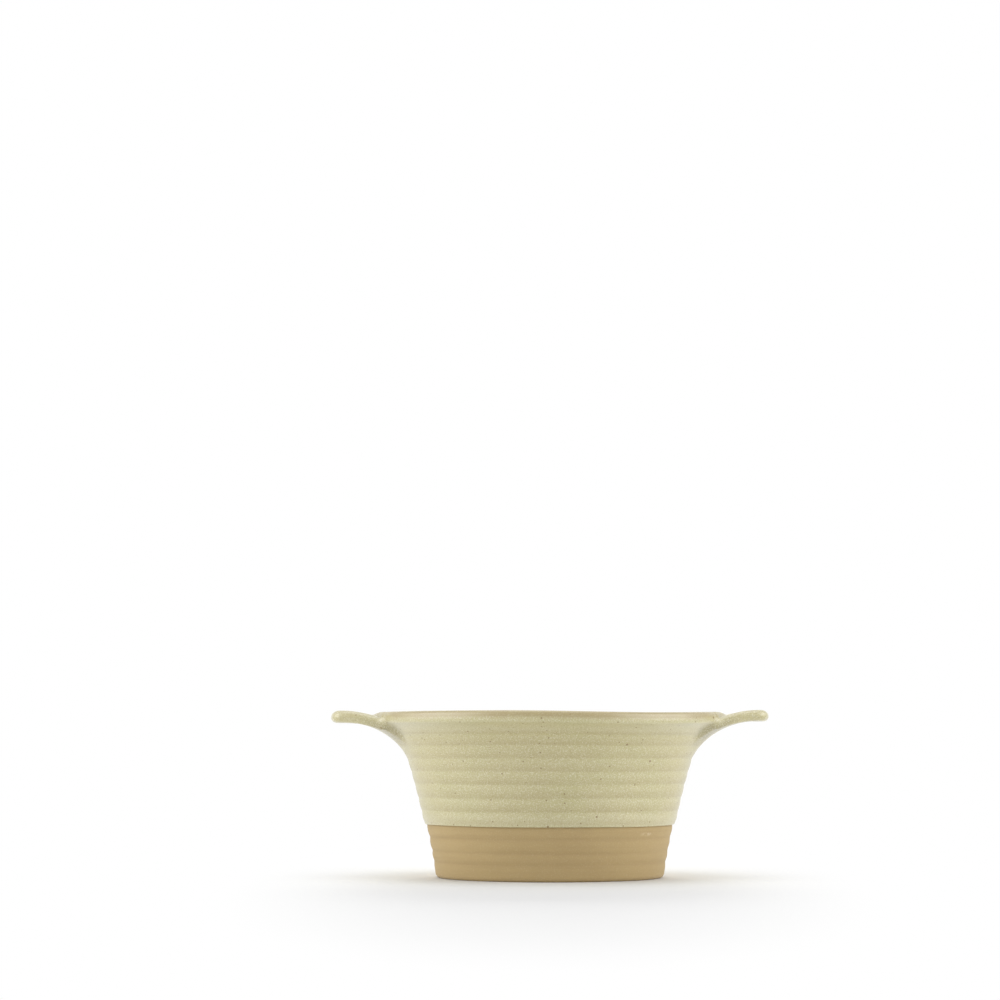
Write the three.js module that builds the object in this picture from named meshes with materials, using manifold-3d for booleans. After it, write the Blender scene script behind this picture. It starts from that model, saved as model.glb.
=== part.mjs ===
// Round stoneware baking dish with two thumb lugs: a ribbed thrown bowl, bare at the foot and glazed above.
// Millimetres, +Z up. The foot stands on z = 0 about the origin, and the lugs point along +X and -X.

import * as THREE from 'three';
import { mergeVertices } from 'three/addons/utils/BufferGeometryUtils.js';
import Module from 'manifold-3d';

// Dish over its glaze
const height = 66.5;
const rimRadius = 70;

// Clay wall from foot to lip. A lean is the angle of the wall from upright, in degrees.
const footRadius = 46.2;
const footCorner = 2;
const waistRadius = 55.55;
const waistHeight = 44;
const waistBend = 0.2;
const lipRadius = 1.3;
const lipLean = 65;
const wall = 4.4;

// Floor and foot ring
const floor = 5;
const floorCorner = 5;
const footRecess = 1.5;
const ringWidth = 8;
const ringBevel = 1.5;

// Throwing grooves, spaced along the wall from its foot, that stop short of the lip
const groovePitch = 5.4;
const firstGroove = 4.5;
const grooveDepth = 0.4;
const plainLip = 6;

// Glaze film, its level edge above the bare foot and what it leaves of the grooves
const glaze = 0.8;
const glazeLine = 21;
const glazedGrooveDepth = 0.15;

// Lugs over their glaze: plan, then the arched plate, then the bracket under it
const lugLength = 18.5;
const lugWidth = 40.6;
const lugTipCorner = 5;
const lugSideFlare = 11.5;
const lugFillet = 7;
const lugBite = 1;
const lugThickness = 4.6;
const lugCrown = 5.1;
const lugRise = 0.8;
const lugDip = 1.6;
const bracketDrop = 18;
const bracketNeck = 11.5;
const bracketWidth = 46;
const bracketPull = 6;
const bracketBite = 0.6;
const bracketFeather = 2;

// Gaps: glaze to clay, and the luting slip between lug and bowl
const seam = 0.1;
const slip = 0.3;

const turns = 44;

const clayLook = { color: '#b89f74', roughness: 0.92, metalness: 0 };
const glazeLook = { color: '#cbc4a4', roughness: 0.38, metalness: 0 };

const wasm = await Module();
wasm.setup();

const radians = THREE.MathUtils.degToRad;
const point = (r, z) => new THREE.Vector2(r, z);
const alongLean = (lean) => point(Math.sin(radians(lean)), Math.cos(radians(lean)));
const outOfLean = (lean) => point(Math.cos(radians(lean)), -Math.sin(radians(lean)));
const leanOf = (low, high) => THREE.MathUtils.radToDeg(Math.atan2(high.x - low.x, high.y - low.y));

// Value between low and high at which a rising function reaches its target
function solve(rising, target, low, high) {
  for (let i = 0; i < 50; i++) {
    const middle = (low + high) / 2;
    if (rising(middle) < target) low = middle;
    else high = middle;
  }
  return low;
}

// Curve that leaves and arrives at the given leans: its handle lies where the two tangents cross
function sweep(start, startLean, end, endLean) {
  const leaving = alongLean(startLean);
  const arriving = alongLean(endLean);
  const reach = end.clone().sub(start).cross(arriving) / leaving.cross(arriving);
  return new THREE.QuadraticBezierCurve(start, start.clone().addScaledVector(leaving, reach), end);
}

// Points on an arc, both ends included, with angles in degrees from the outward direction
function arc(centre, radius, from, to, steps) {
  const points = [];
  for (let i = 0; i <= steps; i++) {
    const angle = radians(from + (to - from) * i / steps);
    points.push(point(centre.x + radius * Math.cos(angle), centre.y + radius * Math.sin(angle)));
  }
  return points;
}

// A profile moved to its right-hand side: out of the clay when it runs from foot over lip to floor
function offset(profile, distance) {
  return profile.map((p, i) => {
    const before = profile[Math.max(i - 1, 0)];
    const after = profile[Math.min(i + 1, profile.length - 1)];
    const run = after.clone().sub(before).normalize();
    return point(p.x === 0 ? 0 : p.x + run.y * distance, p.y - run.x * distance);
  });
}

function revolve(profile) {
  return new THREE.LatheGeometry(profile, turns).rotateX(Math.PI / 2);
}

function toSolid(geometry) {
  const bare = geometry.clone();
  bare.deleteAttribute('normal');
  bare.deleteAttribute('uv');
  const merged = mergeVertices(bare, 1e-4);
  return new wasm.Manifold(new wasm.Mesh({
    numProp: 3,
    vertProperties: new Float32Array(merged.getAttribute('position').array),
    triVerts: new Uint32Array(merged.index.array),
  }));
}

// Back to a mesh, with faces that lie within a hair of one plane joined
function toGeometry(solid) {
  const mesh = solid.simplify(0.02).getMesh();
  const geometry = new THREE.BufferGeometry();
  geometry.setAttribute('position', new THREE.BufferAttribute(new Float32Array(mesh.vertProperties), 3));
  geometry.setIndex(new THREE.BufferAttribute(new Uint32Array(mesh.triVerts), 1));
  geometry.computeVertexNormals();
  return geometry;
}

// Outer line of the bare wall: a long sweep from foot to waist, then the flare from waist to lip. At the
// waist the wall has made a set share of the bend from its own lean to that of the flare.
const coat = seam + glaze;
const lipCentre = point(rimRadius - coat - lipRadius, height - coat - lipRadius);
const lipEdge = lipCentre.clone().addScaledVector(outOfLean(lipLean), lipRadius);
const waist = point(waistRadius, waistHeight);
const wallLean = leanOf(point(footRadius, footCorner), waist);
const waistLean = THREE.MathUtils.lerp(wallLean, leanOf(waist, lipCentre), waistBend);
const footLean = 2 * wallLean - waistLean;
const footCentre = point(footRadius - footCorner * Math.cos(radians(footLean)), footCorner);
const footEdge = footCentre.clone().addScaledVector(outOfLean(footLean), footCorner);
const wallLine = new THREE.CurvePath();
wallLine.add(sweep(footEdge, footLean, waist, waistLean));
wallLine.add(sweep(waist, waistLean, lipEdge, lipLean));
const wallLength = wallLine.getLength();
const waistAt = wallLine.curves[0].getLength();

// Point a given length up the wall line and a given distance out of it
function onWall(length, distance) {
  const share = Math.min(Math.max(length / wallLength, 0), 1);
  const run = wallLine.getTangent(share);
  return wallLine.getPoint(share).add(point(run.y, -run.x).multiplyScalar(distance));
}

// Grooves are cusps between round ribs: one less the size of a sine, nothing beyond the last half rib
const lastGroove = firstGroove
  + groovePitch * Math.floor((wallLength - plainLip - firstGroove) / groovePitch);

function groove(length) {
  const ribbed = length > firstGroove - groovePitch / 2 && length < lastGroove + groovePitch / 2;
  return ribbed ? 1 - Math.abs(Math.sin(Math.PI * (length - firstGroove) / groovePitch)) : 0;
}

// One face of the wall between two lengths, sampled in step with the grooves
function wallFace(from, to, distance, depth, stepsPerGroove) {
  const step = groovePitch / stepsPerGroove;
  const points = [onWall(from, distance - depth * groove(from))];
  for (let i = Math.ceil((from - firstGroove) / step); firstGroove + i * step < to - 0.3; i++) {
    const length = firstGroove + i * step;
    if (length > from + 0.3) points.push(onWall(length, distance - depth * groove(length)));
  }
  points.push(onWall(to, distance - depth * groove(to)));
  return points;
}

// Outer clay face up to the crest of the lip, split just above the glaze line where the film is full
const glazeAt = solve((length) => onWall(length, 0).y, glazeLine, 0, wallLength);
const filmAt = glazeAt + glaze / 2;
const bareFace = wallFace(0, filmAt, 0, grooveDepth, 3);
const hiddenFace = [
  ...wallFace(filmAt, wallLength, 0, grooveDepth, 2),
  ...arc(lipCentre, lipRadius, -lipLean, 90, 3).slice(1),
];

// Inner clay face from the crest to the middle of the floor; the wall thins along the flare to the lip
const floorTop = footRecess + floor;
const cornerSeat = wall + floorCorner;
const cornerAt = solve((length) => onWall(length, -cornerSeat).y, floorTop + floorCorner, 0, waistAt);
const cornerCentre = onWall(cornerAt, -cornerSeat);
const cornerWall = onWall(cornerAt, -wall).sub(cornerCentre);
const innerFace = arc(lipCentre, lipRadius, 90, 180 - lipLean, 1);
for (let i = 1; i < 7; i++) {
  const length = THREE.MathUtils.lerp(wallLength, cornerAt, i / 7);
  const thinning = THREE.MathUtils.smoothstep(length, waistAt, wallLength);
  innerFace.push(onWall(length, -THREE.MathUtils.lerp(wall, 2 * lipRadius, thinning)));
}
const cornerLean = THREE.MathUtils.radToDeg(Math.atan2(cornerWall.y, cornerWall.x));
innerFace.push(...arc(cornerCentre, floorCorner, cornerLean, -90, 4), point(0, floorTop));

const ringInside = footCentre.x - ringWidth;
const clayBody = revolve([
  point(0, footRecess),
  point(ringInside - ringBevel, footRecess),
  point(ringInside, 0),
  ...arc(footCentre, footCorner, -90, -footLean, 3).slice(0, -1),
  ...bareFace,
  ...hiddenFace.slice(1),
  ...innerFace.slice(1),
]);

// Liner: the film over the inner face
const insideGlaze = revolve([
  ...offset(innerFace, seam).reverse(),
  ...offset(innerFace, coat),
]);

// Outer film before it is hollowed: tucked under its round edge at the glaze line, up its own face,
// over the crest and down inside the lip. A seam parts it from the liner at the crest.
const filmFace = [
  onWall(filmAt, -0.5),
  ...[-60, 0, 60].map((angle) => onWall(
    filmAt - glaze / 2 * Math.cos(radians(angle)),
    seam + glaze / 2 + glaze / 2 * Math.sin(radians(angle)),
  )),
  ...wallFace(filmAt, wallLength, coat, glazedGrooveDepth, 3),
  ...arc(lipCentre, lipRadius + coat, -lipLean, 90, 4).slice(1),
];
filmFace.at(-1).x += seam;
const filledFilm = toSolid(revolve([
  point(0, filmFace[0].y),
  ...filmFace,
  point(lipCentre.x + seam, lipCentre.y),
  point(0, lipCentre.y),
]));

// Bowl filled in to its crest and grown by a distance, which cuts a lug back to its seat
function filledBowl(distance) {
  const outside = offset([...bareFace, ...hiddenFace.slice(1)], distance);
  const crest = outside[outside.length - 1];
  return toSolid(revolve([point(0, outside[0].y), ...outside, point(0, crest.y)]));
}

// Half plan of a lug, tip to root, inset from its glazed edge: tip arc, corner, side, fillet to the rim
const lugReach = rimRadius + lugLength;
const tipCentreY = lugWidth / 2 - lugTipCorner;
const tipCentre = point(Math.sqrt((lugReach - lugTipCorner) ** 2 - tipCentreY ** 2), tipCentreY);
const sideOut = point(Math.sin(radians(lugSideFlare)), Math.cos(radians(lugSideFlare)));
const sideRun = point(-sideOut.y, sideOut.x);
const filletStart = tipCentre.clone().addScaledVector(sideOut, lugTipCorner + lugFillet);
const filletOrbit = rimRadius - lugBite + lugFillet;
const towardAxis = filletStart.dot(sideRun);
const filletRun = -towardAxis - Math.sqrt(towardAxis ** 2 - filletStart.lengthSq() + filletOrbit ** 2);
const filletCentre = filletStart.clone().addScaledVector(sideRun, filletRun);

function lugPlan(inset) {
  const tipTurn = THREE.MathUtils.radToDeg(tipCentre.angle());
  const rootTurn = THREE.MathUtils.radToDeg(filletCentre.angle()) + 180;
  const side = 90 - lugSideFlare;
  return [
    ...arc(point(0, 0), lugReach - inset, 0, tipTurn, 2),
    ...arc(tipCentre, lugTipCorner - inset, tipTurn, side, 3).slice(1),
    ...arc(filletCentre, lugFillet + inset, side + 180, rootTurn, 3),
  ];
}

// Top of the lug, an arch over the radius that dips where it meets the rim
const crownRadius = lugReach - lugCrown;

function lugTop(radius) {
  const share = (radius - crownRadius) / (crownRadius - rimRadius);
  return height + lugRise - (lugRise + lugDip) * share ** 2;
}

// Solid through closed sections of equal count, with a fan from the first point over each end
function loft(sections) {
  const count = sections[0].length;
  const last = (sections.length - 1) * count;
  const faces = [];
  for (let j = 0; j < last; j += count) {
    for (let k = 0; k < count; k++) {
      const a = j + k;
      const b = j + (k + 1) % count;
      faces.push(a, a + count, b, b, a + count, b + count);
    }
  }
  for (let k = 1; k < count - 1; k++) {
    faces.push(0, k, k + 1);
    faces.push(last, last + k + 1, last + k);
  }
  const positions = sections.flat().flatMap((p) => p.toArray());
  const geometry = new THREE.BufferGeometry();
  geometry.setAttribute('position', new THREE.BufferAttribute(new Float32Array(positions), 3));
  geometry.setIndex(faces);
  return toSolid(geometry);
}

// Point of the radial plane at a turn about the axis
const turned = (p, turn) => new THREE.Vector3(p.x * Math.cos(turn), p.x * Math.sin(turn), p.y);

// Arched plate of the lug: one section for each point of the plan, from the middle of the lip out
// underneath, round the edge and back over the top. Along the fillets it thins and levels into the lip.
function lugPlate(inset) {
  const half = lugThickness / 2;
  const lipHalf = 0.9 * lipRadius;
  const rootHalf = 0.8 * lipRadius - inset;
  const rootMiddle = onWall(wallLength - 2, -lipRadius);
  const round = half - inset;
  const plans = [-90, -45, 0, 45, 90].map((angle) => ({
    rise: Math.sin(radians(angle)),
    points: lugPlan(inset + round * (1 - Math.cos(radians(angle)))),
  }));
  const count = plans[0].points.length;
  const section = (i) => {
    const full = THREE.MathUtils.smoothstep(count - 1 - i, 0, 3);
    const thick = THREE.MathUtils.lerp(lipHalf, half, full) - inset;
    const middle = (radius) => THREE.MathUtils.lerp(lipCentre.y, lugTop(radius) - half, full);
    const level = (p, rise) => new THREE.Vector3(p.x, p.y, middle(p.length()) + thick * rise);
    const edge = plans.map(({ rise, points }) => level(points[i], rise));
    const from = plans[0].points[i];
    const inward = (share, rise) => level(from.clone().setLength(
      THREE.MathUtils.lerp(rootMiddle.x, from.length(), share),
    ), rise);
    const root = (rise) => turned(point(rootMiddle.x, rootMiddle.y + rootHalf * rise), from.angle());
    return [
      root(-1), inward(0.33, -1), inward(0.67, -1),
      ...edge,
      inward(0.67, 1), inward(0.33, 1), root(1),
    ];
  };
  const sections = [];
  for (let i = 0; i < count; i++) sections.push(section(i));
  const mirror = (p) => new THREE.Vector3(p.x, -p.y, p.z);
  const mirrored = sections.slice(1).map((points) => points.map(mirror));
  return loft([...mirrored.reverse(), ...sections]);
}

// Bracket under the plate: one side curve from wall to plate, set a bite into both, and drawn back into
// the wall and the lip towards its two ends
function lugBracket(inset) {
  const neckRadius = lugReach - bracketNeck;
  const neck = point(neckRadius, lugTop(neckRadius) - lugThickness + bracketBite + inset);
  const neckRise = lugTop(neckRadius + 0.5) - lugTop(neckRadius - 0.5);
  const footAt = solve((length) => onWall(length, coat).y, height - bracketDrop, 0, wallLength);
  const foot = onWall(footAt, coat - bracketBite - inset);
  const footRun = onWall(footAt + 0.5, 0).sub(onWall(footAt - 0.5, 0)).normalize();
  const curve = new THREE.CubicBezierCurve(
    foot,
    foot.clone().addScaledVector(footRun, bracketPull),
    neck.clone().addScaledVector(point(1, neckRise).normalize(), -bracketPull),
    neck,
  );
  const insideWall = onWall((waistAt + wallLength) / 2, -1.6 * wall);
  const insideLip = point(lipCentre.x, lipCentre.y + 1 - inset);
  const insidePlate = point(neckRadius - 1, neck.y + lugThickness / 2 - 2 * inset);
  const lipHold = bracketBite * (1 - inset);
  const footDrawn = point(-bracketFeather, bracketFeather);
  const neckDrawn = point(lipHold, bracketBite * inset - 1).add(lipCentre).sub(neck);
  const atMiddle = [insideWall, ...curve.getPoints(5), insidePlate, insideLip];
  const atEnds = [
    insideWall,
    ...curve.getPoints(5).map((p, i) => p.add(footDrawn.clone().lerp(neckDrawn, i / 5))),
    insideLip.clone().add(point(lipHold, -bracketBite)),
    insideLip,
  ];
  const halfTurn = (bracketWidth / 2 - inset) / waistRadius;
  const sections = [-1, -0.8, -0.55, -0.28, 0, 0.28, 0.55, 0.8, 1].map((share) => (
    atMiddle.map((p, i) => turned(p.clone().lerp(atEnds[i], share ** 2), share * halfTurn))
  ));
  return loft(sections);
}

const lugSolid = (inset) => lugPlate(inset).add(lugBracket(inset));

// Clay lug cut back to its seat, less any crumb that the cut leaves at its feathered ends
const seated = lugSolid(coat + seam / 2).subtract(filledBowl(slip)).decompose();
const lug = toGeometry(seated.reduce((largest, next) => (
  next.volume() > largest.volume() ? next : largest
)));

// Outer film, swelled over both lugs and hollowed for them and the bowl
const lugs = (inset) => lugSolid(inset).add(lugSolid(inset).rotate([0, 0, 180]));
const outsideGlaze = toGeometry(filledFilm
  .add(lugs(0))
  .subtract(filledBowl(seam))
  .subtract(lugs(glaze)));

function piece(name, geometry, look) {
  const mesh = new THREE.Mesh(geometry, new THREE.MeshStandardMaterial(look));
  mesh.name = name;
  return mesh;
}

const group = new THREE.Group();
group.name = 'baking_dish';
const rightLug = piece('right_lug', lug, clayLook);
const leftLug = piece('left_lug', lug, clayLook);
leftLug.rotation.z = Math.PI;
group.add(piece('clay_body', clayBody, clayLook));
group.add(leftLug, rightLug);
group.add(piece('inside_glaze', insideGlaze, glazeLook));
group.add(piece('outside_glaze', outsideGlaze, glazeLook));

export default group;
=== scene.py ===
import math

import bpy
import numpy as np
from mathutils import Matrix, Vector


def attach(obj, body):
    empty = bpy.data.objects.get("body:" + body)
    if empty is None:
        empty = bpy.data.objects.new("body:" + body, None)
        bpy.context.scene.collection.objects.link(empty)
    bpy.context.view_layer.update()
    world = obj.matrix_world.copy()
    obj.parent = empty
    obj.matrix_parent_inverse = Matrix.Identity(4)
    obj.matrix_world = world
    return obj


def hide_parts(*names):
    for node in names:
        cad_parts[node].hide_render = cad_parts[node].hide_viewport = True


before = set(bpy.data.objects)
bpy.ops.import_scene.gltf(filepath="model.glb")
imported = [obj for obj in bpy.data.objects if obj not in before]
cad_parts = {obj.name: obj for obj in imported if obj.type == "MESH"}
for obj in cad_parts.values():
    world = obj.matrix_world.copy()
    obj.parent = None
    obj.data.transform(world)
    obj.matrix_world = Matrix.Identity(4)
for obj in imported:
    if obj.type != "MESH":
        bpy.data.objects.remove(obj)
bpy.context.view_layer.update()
print("frame loaded:", ", ".join(sorted(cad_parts)))

mm = 0.001
tau = 2 * math.pi
tiny = 1e-6  # least size of a round

# The thrown dish: sizes in millimetres, leans and turns in degrees
dish = {
    "height": 66.5,
    "rim": 70.0,
    "foot": 46.1,
    "footCorner": 2.0,
    "waistRadius": 55.55,
    "waistHeight": 44.0,
    "waistBend": 0.2,  # 0 leans as the wall, 1 as the flare
    "lipLean": 65.0,
    "lip": 1.3,
    "wall": 4.4,
    "seam": 0.1,  # between clay and film
    "glaze": 0.8,
    "glazeLine": 21.4,
    "lipHalf": 2.4,
    "lipSquare": 0.65,  # power of the lip's round, 1 is a true round
    "sag": 0.65,
    "sagTurn": -58.0,
    "sagHalfTurn": 48.0,
    "sagHeights": (46.0, 65.0),
    "settle": 0.15,
    "lineSamples": 800,
    "axisRing": 0.4,  # smallest ring about the axis
    "creaseAngle": 50.0,
}
coat = dish["seam"] + dish["glaze"]
lipRound = dish["lip"] + coat
lipR = dish["rim"] - lipRound
lipZ = dish["height"] - lipRound
lipLean = math.radians(dish["lipLean"])


# Straight blend from a to b
def mix(a, b, share):
    return a + (b - a) * share


# Smooth step: 0 below low, 1 above high, 3t^2 - 2t^3 between
def ease(low, high, x):
    t = np.clip((x - low) / (high - low), 0.0, 1.0)
    return t * t * (3.0 - 2.0 * t)


# Smooth step over a span from a base
def easeFrom(base, span, x):
    return ease(base + span[0], base + span[1], x)


# Smooth step of an angle in radians over a span in degrees
def easeTurn(span, angle):
    return ease(math.radians(span[0]), math.radians(span[1]), angle)


# Shares from 0 to 1 in equal steps, along a row
def shares(count):
    return np.linspace(0.0, 1.0, count)[None, :]


# Sum of sines round the dish, each with its share, count per turn, climb along the wall and start
def waves(parts, turn, s=0.0):
    return sum(share * np.sin(count * turn + climb * s + start) for share, count, climb, start in parts)


# Curve with a lean at each end: a quadratic whose handle is where the two end tangents cross
def sweep(start, startLean, end, endLean, t):
    leave = np.array([math.sin(startLean), math.cos(startLean)])
    arrive = np.array([math.sin(endLean), math.cos(endLean)])
    gap = end - start
    reach = (gap[0] * arrive[1] - gap[1] * arrive[0]) / (leave[0] * arrive[1] - leave[1] * arrive[0])
    handle = start + reach * leave
    t = t[:, None]
    return (1 - t) ** 2 * start + 2 * t * (1 - t) * handle + t ** 2 * end


# Outer line of the bare clay: curves from foot to waist and from waist to lip, with the length so far and
# the outward normal, the line's direction turned by a quarter
def makeWallLine():
    waist = np.array([dish["waistRadius"], dish["waistHeight"]])
    lipCentre = np.array([lipR, lipZ])
    wallLean = math.atan2(waist[0] - dish["foot"], waist[1] - dish["footCorner"])
    flareLean = math.atan2(lipCentre[0] - waist[0], lipCentre[1] - waist[1])
    waistLean = mix(wallLean, flareLean, dish["waistBend"])
    footLean = 2 * wallLean - waistLean
    corner = dish["footCorner"]
    footCentre = np.array([dish["foot"] - corner * math.cos(footLean), corner])
    footEdge = footCentre + corner * np.array([math.cos(footLean), -math.sin(footLean)])
    lipEdge = lipCentre + dish["lip"] * np.array([math.cos(lipLean), -math.sin(lipLean)])
    t = np.linspace(0.0, 1.0, dish["lineSamples"])
    lower = sweep(footEdge, footLean, waist, waistLean, t)
    upper = sweep(waist, waistLean, lipEdge, lipLean, t)
    line = np.vstack([lower, upper[1:]])
    length = np.concatenate([[0.0], np.cumsum(np.hypot(*np.diff(line, axis=0).T))])
    run = np.gradient(line, length, axis=0)
    run /= np.hypot(run[:, 0], run[:, 1])[:, None]
    return {
        "s": length, "r": line[:, 0], "z": line[:, 1], "nr": run[:, 1], "nz": -run[:, 0],
        "length": length[-1], "waist": length[len(lower) - 1],
        "footLean": footLean, "footCentre": footCentre,
    }


wallLine = makeWallLine()


# Point a length s up the wall line and a distance out of it along its normal
def onWall(s, out):
    r = np.interp(s, wallLine["s"], wallLine["r"]) + out * np.interp(s, wallLine["s"], wallLine["nr"])
    z = np.interp(s, wallLine["s"], wallLine["z"]) + out * np.interp(s, wallLine["s"], wallLine["nz"])
    return r, z


# Length up the wall at which it reaches a height
def wallAtHeight(height):
    return float(np.interp(height, wallLine["z"], wallLine["s"]))


# Throwing ribs, spaced along the wall; the lines wander and vary a little round the dish
ribs = {
    "pitch": 5.4,
    "first": 4.14,
    "lowShift": 0.8,  # lowest groove, up the wall
    "lowShiftEnds": (5.0, 10.0),
    "clayDepth": 0.3,
    "glazeDepth": 0.2,
    "plainLip": 6.0,
    "wander": 0.22,
    "wanderWaves": ((0.6, 1, 0.35, 0.0), (0.4, 3, -0.21, 1.3)),
    "uneven": 0.3,
    "unevenWave": ((1.0, 2, 0.9, 0.0),),
    "crossWave": ((1.0, 1, -0.17, 0.6),),
    "startFade": (-2.6, -1.2),  # from the first groove
    "topFade": (-1.6, 0.2),  # from the top of the last rib
}
lastRib = ribs["first"] + ribs["pitch"] * math.floor(
    (wallLine["length"] - ribs["plainLip"] - ribs["first"]) / ribs["pitch"])


# Place within a rib, 0 at the groove below it and 1 at the groove above it
def ribPhase(s, turn):
    drift = ribs["wander"] * waves(ribs["wanderWaves"], turn, s)
    drift = drift - ribs["lowShift"] * (1.0 - ease(*ribs["lowShiftEnds"], s))
    return (s + drift - ribs["first"]) / ribs["pitch"]


# Groove: one less the size of a sine rounded at its cusp, times a strength that varies as the product of two
# waves, faded out below the first rib and above the last
def ribDip(s, turn, rounding):
    wave = np.sin(math.pi * ribPhase(s, turn))
    dip = 1.0 - (np.sqrt(wave ** 2 + rounding ** 2) - rounding) / (math.sqrt(1 + rounding ** 2) - rounding)
    strength = 1.0 + ribs["uneven"] * waves(ribs["unevenWave"], turn, s) * waves(ribs["crossWave"], turn, s)
    fade = 1.0 - easeFrom(lastRib + ribs["pitch"] / 2, ribs["topFade"], s)
    fade = fade * easeFrom(ribs["first"], ribs["startFade"], s)
    return dip * strength * fade


# Points of a section turned about the axis: radius times cosine, radius times sine, height
def spin(r, z, turn):
    x, y = r * np.cos(turn), r * np.sin(turn)
    return np.stack([x, y, np.broadcast_to(z, x.shape)], axis=-1)


# Equal turns all round, one to a column
def evenTurns(columns):
    return np.linspace(0.0, tau, columns, endpoint=False)[:, None]


# A line's values repeated for every column
def allRound(line, columns):
    return np.repeat(line[None, :], columns, axis=0)


# Arc about a centre: radius times cosine and sine over equal turns
def arc(centreR, centreZ, radius, start, end, rows):
    around = np.linspace(start, end, rows)
    return np.stack([centreR + radius * np.cos(around), centreZ + radius * np.sin(around)], axis=-1)


# Quads of a grid: columns run round the dish, rows along the section, and each may wrap
def wrapFaces(columns, rows, closeRows, closeColumns=True):
    c = np.arange(columns if closeColumns else columns - 1)[:, None]
    k = np.arange(rows if closeRows else rows - 1)[None, :]
    nextC = (c + 1) % columns
    nextK = (k + 1) % rows
    quads = np.stack([c * rows + k, nextC * rows + k, nextC * rows + nextK, c * rows + nextK], axis=-1)
    return quads.reshape(-1, 4)


# Signed volume, a sixth of the sum of a . (b x c) over the triangles, positive with faces outwards
def signedVolume(points, quads, tris):
    def part(a, b, c):
        return np.einsum("ij,ij->", points[a], np.cross(points[b], points[c])) / 6
    total = part(quads[:, 0], quads[:, 1], quads[:, 2]) + part(quads[:, 0], quads[:, 2], quads[:, 3])
    if len(tris):
        total += part(tris[:, 0], tris[:, 1], tris[:, 2])
    return total


# Hand-thrown rim: the wall's top settles a little all round and sags more about one turn
def sagRim(points):
    x, y, z = points.T
    off = np.arctan2(y, x) - math.radians(dish["sagTurn"])
    off = np.abs((off + math.pi) % tau - math.pi) / math.radians(dish["sagHalfTurn"])
    drop = dish["settle"] + dish["sag"] * (1.0 - ease(0.0, 1.0, off))
    return np.stack([x, y, z - drop * ease(*dish["sagHeights"], z)], axis=-1)


noTris = np.zeros((0, 3), int)


# Mesh object from points in millimetres: faces outwards, creases sharp, named values on its vertices
def makePiece(name, points, quads, tris, values):
    if signedVolume(points, quads, tris) < 0:
        quads = quads[:, ::-1]
        tris = tris[:, ::-1]
    mesh = bpy.data.meshes.new(name)
    mesh.from_pydata((sagRim(points) * mm).tolist(), [], quads.tolist() + tris.tolist())
    mesh.polygons.foreach_set("use_smooth", np.ones(len(mesh.polygons), dtype=bool))
    mesh.set_sharp_from_angle(angle=math.radians(dish["creaseAngle"]))
    for key, value in values.items():
        layer = mesh.attributes.new(key, "FLOAT", "POINT")
        layer.data.foreach_set("value", np.ascontiguousarray(value, dtype=np.float32).ravel())
    mesh.update()
    piece = bpy.data.objects.new(name, mesh)
    bpy.context.scene.collection.objects.link(piece)
    print("made", name, len(quads) * 2 + len(tris), "triangles")
    return piece


# Solid of revolution: a profile per column between two points on the axis, with a fan at each end
def makeTurned(name, r, z, values):
    columns, rows = r.shape
    low = [0.0, 0.0, float(z[:, 0].mean())]
    high = [0.0, 0.0, float(z[:, -1].mean())]
    points = np.vstack([spin(r, z, evenTurns(columns)).reshape(-1, 3), low, high])
    quads = wrapFaces(columns, rows, False)
    c = np.arange(columns)
    nextC = (c + 1) % columns
    lowFan = np.stack([np.full(columns, columns * rows), nextC * rows, c * rows], axis=-1)
    last = rows - 1
    highFan = np.stack([np.full(columns, columns * rows + 1), c * rows + last, nextC * rows + last], axis=-1)
    filled = {key: np.concatenate([value.ravel(), [value[:, 0].mean(), value[:, -1].mean()]])
              for key, value in values.items()}
    return makePiece(name, points, quads, np.vstack([lowFan, highFan]), filled)


# Outer glaze: film over the wall, round both lugs and over the lip to the crest

outerGlaze = {
    "edgeTaper": 0.3,
    "taperLength": 1.2,
    "edgeWaver": 0.1,
    "waverWaves": ((1.0, 2, 0.0, 0.7), (0.6, 5, 0.0, 2.1)),
    "ribRounding": 0.3,
    "ribsFrom": (0.2, 1.8),  # above the film's edge
    "columns": 400,
    "denser": 7.0,  # more columns at the sides of the lugs
    "denseFrom": (10.5, 12.5),
    "denseTo": (22.0, 27.0),
    "turnSamples": 20001,
    "edgeRows": 9,
    "wallRows": 62,
    "upperRows": 86,
    "underSamples": 160,
    "noseSamples": 40,
    "topSamples": 90,
    "noseWeight": 2.2,  # rows per length, 1 on the underside
    "topWeight": 1.2,
    "leastStep": 1e-7,
    "backEvery": 4,
    "backSmoothing": 8,
}
lugs = {
    "length": 18.5,
    "width": 40.6,
    "tipCorner": 5.0,
    "sideFlare": 11.5,
    "fillet": 6.5,
    "crown": 5.1,  # highest line of the arch, in from the tip
    "dip": 1.6,  # of the arch at the rim
    "rightHalf": 2.12,  # half the thickness
    "rightRise": 0.75,
    "leftHalf": 2.35,
    "leftRise": 0.55,
    "rootTurn": 17.0,
    "sideTurns": (9.0, 16.0),
    "notchFillet": 0.5,
    "sideFillet": 1.4,
    "lipFillet": 1.0,
    "lipFilletFull": (0.1, 0.5),
    "crestClear": 0.6,
    "chamfer": 0.46,
    "sideChamfer": 2.2,
    "chamferFrom": 0.7,
    "bracketFoot": 48.3,
    "footPull": 6.8,  # handles of the bracket's curve
    "footPullLean": 22.0,
    "tipPull": 15.6,
    "tipPullRise": 0.055,
    "footInside": 4.0,  # turns between which the bracket falls off
    "footOutside": 15.0,
    "flankInside": 12.5,
    "flankOutside": 21.5,
    "flankRise": 0.55,  # shares of the way to the tip
    "planFrom": 0.6,
    "ribsOff": (0.1, 1.6),
}
lugReach = dish["rim"] + lugs["length"]
sideFlare = math.radians(lugs["sideFlare"])
sideOut = np.array([math.sin(sideFlare), math.cos(sideFlare)])
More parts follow.
